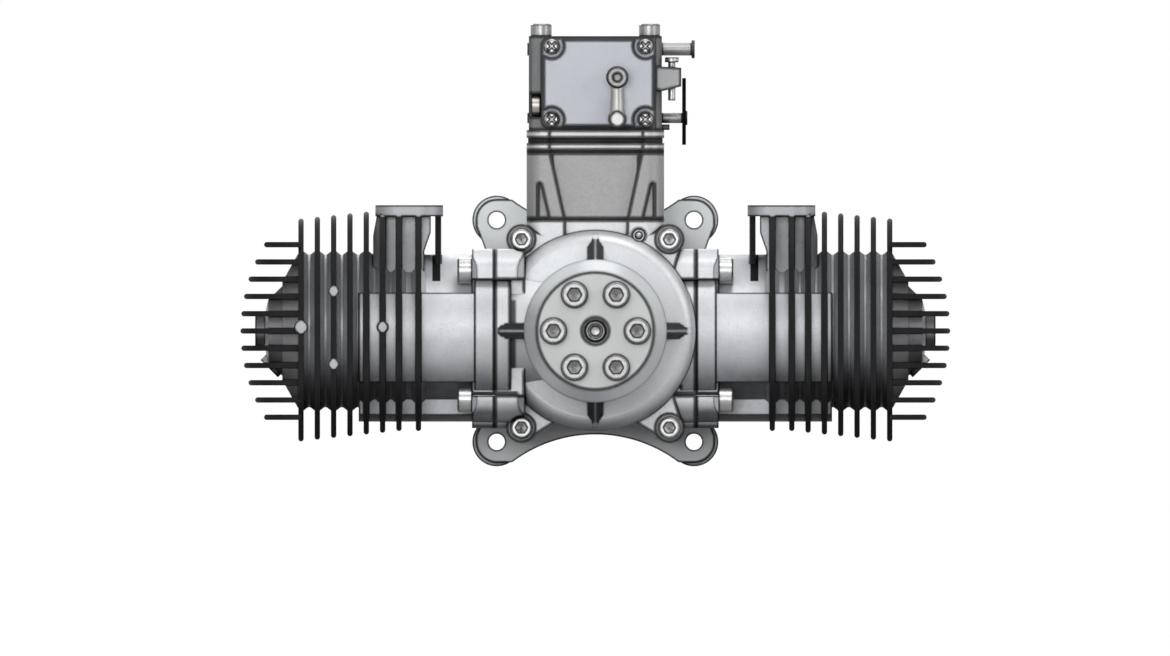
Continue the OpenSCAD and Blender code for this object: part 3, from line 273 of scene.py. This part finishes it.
def fastener(name, color, rough=0.30, metallic=0.85):
    """Plated steel screws, with faint knurling, and sockets darker by painted shade."""
    t = Surface(name)
    cloud = t.noise(700.0, 3.0)
    scratch = t.noise(1.0, 2.0, 0.6, t.stretched(4000.0, 700.0, 4000.0))
    tint = t.mix(t.step(cloud, 0.35, 0.7), scaled(color, 0.92), scaled(color, 1.05))
    rough_now = t.step(scratch, 0.3, 0.7, rough - 0.06, rough + 0.10)
    return finish_surface(t, tint, metallic, rough_now, scratch, 0.00002, edge=0.0002, crease=0.35,
                          width=0.0007)


def soft_sheet(name, color, rough=0.75, grain=2600.0, spec=0.3):
    """Fibre gasket, rubber or moulded plastic."""
    t = Surface(name)
    fibres = t.noise(1.0, 3.0, 0.7, t.stretched(grain, grain * 0.35, grain))
    cloud = t.noise(90.0, 3.0)
    tint = t.mix(t.step(fibres, 0.35, 0.7), scaled(color, 0.8), scaled(color, 1.35))
    tint = t.mix(t.step(cloud, 0.4, 0.7, 0.0, 0.3), tint, scaled(color, 1.5))
    t.bsdf.inputs["Specular IOR Level"].default_value = spec
    rough_now = t.step(cloud, 0.3, 0.7, rough - 0.06, rough + 0.08)
    return finish_surface(t, tint, 0.0, rough_now, fibres, 0.00004, edge=0.0001)


def cylinder_metal(name, centre_y, side):
    """The cylinder casting: fins coated near black, the barrel, head, base and exhaust duct bare, with the
    head's bare colour lighter as painted light and the flange's and pads' darker as painted shade.
    """
    t = Surface(name)
    x, y, z = t.axes()
    out = t.product(x, side)
    across = t.math("SUBTRACT", y, centre_y)
    depth = t.math("ABSOLUTE", across)
    radius = t.length(across, z)
    head = t.above(out, HEAD_FROM, 0.0008)
    flange = t.above(z, FLANGE_UNDERSIDE)
    pads = t.above(depth, PAD_FACE, 0.00004)

    # Where the coating lies: on the barrel's and the head's fins, and not on the flange, duct or ejector pads
    even = near_planes(t, out, FIRST_FIN, FIN_PITCH, FIN_HALF)
    even = t.product(even, t.above(out, EVEN_FINS_FROM, 0.0003))
    last = t.below(t.off(out, LAST_FIN), FIN_HALF, 0.0001)
    barrel_fins = t.product(t.math("MAXIMUM", even, last), t.above(radius, BARREL_RADIUS, 0.0008))
    barrel_fins = t.product(barrel_fins, t.below(out, BARREL_END))
    head_fins = t.product(near_planes(t, z, 0.0, HEAD_PITCH, FIN_HALF), head)
    head_fins = t.product(head_fins, t.above(radius, PLUG_POCKET - 0.0002, 0.0001))
    stay = t.product(t.below(t.off(out, STAY_OUT), STAY_HALF, 0.0001), t.above(z, STAY_LOW, 0.0004))
    fins = t.math("MAXIMUM", t.math("MAXIMUM", barrel_fins, head_fins), stay)
    duct = t.product(t.below(depth, DUCT_HALF, 0.0004), t.above(z, DUCT_LOW, 0.0010))
    upper = t.math("MAXIMUM", t.product(duct, t.above(out, DUCT_INNER)), flange)
    upper = t.product(upper, t.below(out, DUCT_OUTER, 0.0005))
    dark = t.product(fins, t.math("SUBTRACT", 1.0, t.math("MAXIMUM", upper, pads)))

    cloud = t.noise(42.0, 4.0, 0.6)
    speck = t.noise(1500.0, 2.0, 0.6)
    patch = t.noise(260.0, 3.0, 0.6)
    bare = t.mix(t.step(cloud, 0.3, 0.7), srgb(194, 196, 199), srgb(212, 214, 217))
    # The head gets a lighter copy of the bare colour, painted light, and the flange and ejector pads a darker
    # copy, painted shade
    bare = t.mix(head, bare, srgb(206, 207, 210))
    bare = t.mix(t.math("MAXIMUM", flange, pads), bare, srgb(166, 168, 171))
    coat = t.mix(t.step(patch, 0.35, 0.7), srgb(9, 9, 10), srgb(17, 17, 19))
    grain = t.mix(dark, srgb(140, 142, 145), srgb(38, 38, 41))
    tint = t.mix(t.step(speck, 0.45, 0.75, 0.0, 0.2), t.mix(dark, bare, coat), grain)
    # Painted shade on the faces that point down, at full strength on the cylinders
    tint = painted_underside_shade(t, tint, cloud, 1.0)
    metallic = t.math("MULTIPLY_ADD", dark, -0.3, 0.3)
    rough = t.math("ADD", t.step(speck, 0.3, 0.7, -0.05, 0.06), t.math("MULTIPLY_ADD", dark, 0.10, 0.42))
    t.bsdf.inputs["Specular IOR Level"].default_value = 0.15
    return finish_surface(t, tint, metallic, rough, speck, 0.00009, edge=0.0004, crease=0.7, width=0.0009)


looks = [
    (cast_metal("case_casting", srgb(196, 198, 200), metallic=0.50), ["front_case", "rear_case"]),
    (machined_metal("mount_plate_milled", srgb(192, 195, 196), 0.65, 0.42, width=0.0009), ["mount_plate"]),
    (cylinder_metal("left_cylinder_casting", LEFT_Y, -1.0), ["left_cylinder"]),
    (cylinder_metal("right_cylinder_casting", RIGHT_Y, 1.0), ["right_cylinder"]),
    (cast_metal("manifold_casting", srgb(152, 152, 153), rough=0.5), ["intake_manifold"]),
    (machined_metal("spacer_milled", srgb(190, 190, 191), 0.5, 0.40), ["lower_spacer", "upper_spacer"]),
    (cast_metal("carburetor_casting", srgb(104, 105, 106), grain=2400.0, depth=0.00005), ["carburetor_body"]),
    (cast_metal("bracket_casting", srgb(148, 149, 150), grain=2400.0, depth=0.00005), ["idle_bracket"]),
    (cast_metal("carburetor_cover", srgb(168, 171, 177), grain=2400.0, depth=0.00004, tone=0.03),
     ["metering_cover", "pump_cover"]),
    (machined_metal("elbow_polished", srgb(176, 176, 175), 0.6, 0.34), ["cover_elbow"]),
    (machined_metal("brass_turned", srgb(214, 182, 112), 0.85, 0.30, width=0.0004),
     ["fuel_nipple", "throttle_plate", "choke_plate"]),
    (machined_metal("needle_turned", srgb(176, 172, 164), 0.8, 0.30, width=0.0006),
     ["high_needle", "low_needle"]),
    (fastener("fastener_steel", srgb(182, 182, 182)),
     ["case_screws", "cylinder_screws", "cover_screws", "pump_screw", "idle_screw", "case_plug"]),
    (fastener("bolt_steel", srgb(150, 150, 151)),
     ["mount_plate_screws", "manifold_screws", "carburetor_bolts", "prop_bolts", "throttle_screw",
      "choke_screw"]),
    (machined_metal("hub_turned", srgb(200, 203, 205), 0.55, 0.34, axis="y", width=0.0022), ["prop_hub"]),
    (machined_metal("washer_turned", srgb(172, 175, 174), 0.45, 0.40, axis="y"), ["prop_washer"]),
    (machined_metal("shaft_ground", srgb(190, 190, 190), 0.9, 0.26, axis="y", pitch=0.0003),
     ["crankshaft_front", "crankshaft_rear", "centre_web", "hub_key"]),
    (machined_metal("valve_shaft_ground", srgb(166, 166, 166), 0.6, 0.36, axis="x", centre=(MID_Y, CHOKE_Z),
                    pitch=0.0003),
     ["throttle_shaft", "choke_shaft"]),
    (soft_sheet("arm_blackened", srgb(8, 8, 9), rough=0.8, grain=1500.0, spec=0.02), ["throttle_arm"]),
    (machined_metal("inner_steel", srgb(176, 176, 178), 0.9, 0.26),
     ["main_bearing", "nose_bearing", "rear_bearing", "left_wrist_pin", "right_wrist_pin", "left_rod",
      "right_rod", "left_crank_pin", "right_crank_pin", "reed_stops"]),
    (machined_metal("piston_turned", srgb(196, 196, 197), 0.75, 0.34, axis="x", centre=(MID_Y, 0.0)),
     ["left_piston", "right_piston"]),
    (machined_metal("piston_ring_iron", srgb(92, 92, 94), 0.8, 0.38),
     ["left_piston_rings", "right_piston_rings"]),
    (soft_sheet("gasket_fibre", srgb(44, 44, 46)),
     ["base_gaskets", "manifold_gaskets", "heat_gasket", "metering_gasket"]),
    (soft_sheet("seal_rubber", srgb(34, 34, 35), rough=0.6, grain=4000.0), ["front_seal"]),
    (soft_sheet("reed_plastic", srgb(40, 40, 43), rough=0.55, grain=4000.0), ["reed_cage", "reed_petals"]),
]
for material, names in looks:
    for name in names:
        slots = nodes[name].material_slots
        if not len(slots):
            nodes[name].data.materials.append(material)
        for slot in slots:
            slot.material = material


# Camera: a parallel view straight along the crankshaft

def put(name, data, place=(0, 0, 0), turn=(0, 0, 0)):
    item = bpy.data.objects.new(name, data)
    item.location = place
    item.rotation_euler = turn
    bpy.context.scene.collection.objects.link(item)
    return item


camera = bpy.data.cameras.new("camera")
camera.type = "ORTHO"
camera.ortho_scale = PICTURE_WIDTH
camera.clip_start = 0.01
camera.clip_end = 20
bpy.context.scene.camera = put("camera", camera, (-0.0042, -1.2, 0.0012), (math.radians(90), 0, 0))


# Floor, world and lamps

floor_mesh = bpy.data.meshes.new("floor")
turns = [a * 2 * math.pi / FLOOR_SIDES for a in range(FLOOR_SIDES)]
ring = [(FLOOR_RADIUS * math.cos(a), FLOOR_RADIUS * math.sin(a), cad_box[0][2]) for a in turns]
floor_mesh.from_pydata(ring, [], [list(range(FLOOR_SIDES))])
floor = put("floor", floor_mesh)
pale = Surface("floor_pale")
pale_tone = pale.mix(pale.noise(3.0), (0.82, 0.82, 0.82), (0.85, 0.85, 0.85))
pale.feed(pale.mix(pale.shown(), (0.34, 0.34, 0.35), pale_tone), pale.bsdf.inputs["Base Color"])
pale.bsdf.inputs["Roughness"].default_value = 0.9
floor_mesh.materials.append(pale.owner)

world = bpy.data.worlds.new("studio")
bpy.context.scene.world = world
studio = Tree(world)
white = studio.add("ShaderNodeBackground", Color=(1, 1, 1, 1), Strength=1.0)
light = studio.add("ShaderNodeBackground", Color=(0.98, 0.99, 1, 1), Strength=0.22)
both = studio.add("ShaderNodeMixShader")
for i, part in enumerate((studio.shown(), light.outputs[0], white.outputs[0])):
    studio.feed(part, both.inputs[i])
studio.feed(both.outputs[0], studio.add("ShaderNodeOutputWorld").inputs[0])


def lamp(name, place, size, watts):
    """A round soft lamp that points at the engine."""
    data = bpy.data.lights.new(name, "AREA")
    data.shape = "DISK"
    data.size = size
    data.energy = watts
    aim = [t - p for t, p in zip(LAMP_TARGET, place)]
    tilt = math.atan2(math.hypot(aim[0], aim[1]), -aim[2])
    put(name, data, place, (tilt, 0, math.atan2(-aim[0], aim[1])))


lamp("key", (0.3, -0.9, 1.3), 0.6, 8.5)
lamp("front", (-0.4, -1.7, 0.25), 0.8, 6)
lamp("straight", (0.0, -1.8, 0.05), 0.8, 3)
lamp("right", (1.3, -1.0, 0.5), 0.8, 6)
lamp("left", (-1.2, -1.2, 0.3), 0.8, 2)
lamp("top", (0.1, 0.2, 1.5), 1.0, 3.5)
lamp("back", (-0.4, 1.4, 0.9), 1.0, 8)

bpy.context.scene.view_settings.view_transform = "Standard"
